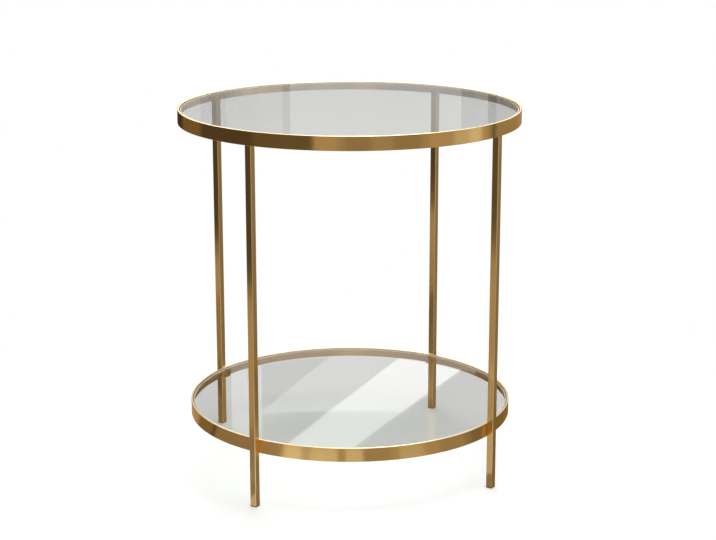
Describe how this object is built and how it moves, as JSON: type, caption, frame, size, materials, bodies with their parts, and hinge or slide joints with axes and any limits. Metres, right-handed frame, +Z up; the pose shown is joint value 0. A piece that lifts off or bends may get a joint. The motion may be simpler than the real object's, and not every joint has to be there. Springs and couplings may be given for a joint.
{
  "type": "tiered side table",
  "caption": "Round two-tier side table: slim square legs carry two polished brass hoops, each holding a loose clear glass disc, the shelf set between the legs.",
  "frame": {"origin": "on the floor, under the middle of the table", "axes": "+Z up through the middle of both tiers; the front is -Y, and the legs stand at 45 degrees to X and Y"},
  "size_m": [0.5, 0.5, 0.539],
  "materials": {
    "polished_brass": "mirror-polished brass-coloured plating",
    "clear_glass": "clear toughened glass, edges ground and polished",
    "clear_silicone": "clear soft silicone",
    "dark_nylon": "moulded nylon, fine matt",
    "plated_steel": "yellow-passivated steel"
  },
  "bodies": {
    "frame": {"top_hoop": "polished_brass", "shelf_hoop": "polished_brass", "leg_rear_right": "polished_brass", "leg_rear_left": "polished_brass", "leg_front_left": "polished_brass", "leg_front_right": "polished_brass", "leg_bracket_rear_right": "polished_brass", "leg_bracket_rear_left": "polished_brass", "leg_bracket_front_left": "polished_brass", "leg_bracket_front_right": "polished_brass", "leg_bush_rear_right": "plated_steel", "leg_bush_rear_left": "plated_steel", "leg_bush_front_left": "plated_steel", "leg_bush_front_right": "plated_steel", "foot_rear_right": "dark_nylon", "foot_rear_left": "dark_nylon", "foot_front_left": "dark_nylon", "foot_front_right": "dark_nylon", "top_rest_rear_right": "polished_brass", "top_rest_rear_left": "polished_brass", "top_rest_front_left": "polished_brass", "top_rest_front_right": "polished_brass", "shelf_rest_rear_right": "polished_brass", "shelf_rest_rear_left": "polished_brass", "shelf_rest_front_left": "polished_brass", "shelf_rest_front_right": "polished_brass", "top_bumper_rear_right": "clear_silicone", "top_bumper_rear_left": "clear_silicone", "top_bumper_front_left": "clear_silicone", "top_bumper_front_right": "clear_silicone", "shelf_bumper_rear_right": "clear_silicone", "shelf_bumper_rear_left": "clear_silicone", "shelf_bumper_front_left": "clear_silicone", "shelf_bumper_front_right": "clear_silicone", "top_screws": "plated_steel", "shelf_screws": "plated_steel"},
    "top_glass_disc": {"top_glass": "clear_glass"},
    "shelf_glass_disc": {"shelf_glass": "clear_glass"}
  },
  "joints": [
    {"name": "top_glass_lift", "type": "slide", "parent": "frame", "child": "top_glass_disc", "axis": [0, 0, 1], "range_m": [0, 0.12]},
    {"name": "shelf_glass_lift", "type": "slide", "parent": "frame", "child": "shelf_glass_disc", "axis": [0, 0, 1], "range_m": [0, 0.4]}
  ]
}
